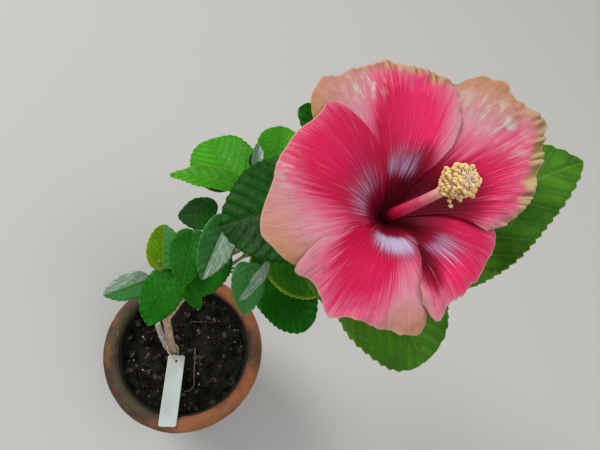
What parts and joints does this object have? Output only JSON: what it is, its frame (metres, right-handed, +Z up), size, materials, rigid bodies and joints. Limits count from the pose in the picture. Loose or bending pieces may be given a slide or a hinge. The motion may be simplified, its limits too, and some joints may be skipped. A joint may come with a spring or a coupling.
{
  "type": "potted hibiscus plant",
  "caption": "Young hibiscus in a round clay pot, with leafy boughs, one very large open bloom and a blank plant label.",
  "frame": {"origin": "centre of the pot's flat underside", "axes": "+Z up along the pot's axis, +X towards the side that the bloom leans to, +Y towards the crown's back"},
  "size_m": [0.373, 0.2849, 0.65],
  "materials": {
    "clay": "weathered bare clay with algae",
    "liner": "thin black plastic",
    "soil": "damp crumbly potting mix with pale grains",
    "bark": "fine matt bark",
    "dead_wood": "dry grey wood",
    "leaf": "satin leaf",
    "petal": "soft petal, dark at the throat and cream at the rim",
    "sepal": "satin green",
    "column": "soft pink with yellow pollen",
    "label": "smooth white plastic",
    "string": "twisted string"
  },
  "bodies": {
    "root": {"pot": "clay", "liner": "liner", "soil": "soil", "trunk": "bark", "cut_stub": "dead_wood", "label": "label", "label_tie": "string", "bough_middle": "bark", "bough_left": "bark", "bough_flower": "bark", "bough_back": "bark", "bough_low": "bark", "petal_top": "petal", "petal_right": "petal", "petal_low_right": "petal", "petal_low_left": "petal", "petal_left": "petal", "calyx": "sepal", "flower_stalk": "sepal", "column": "column", "foliage_left": "leaf", "foliage_back": "leaf", "foliage_low": "leaf", "foliage_top": "leaf"}
  },
  "joints": []
}
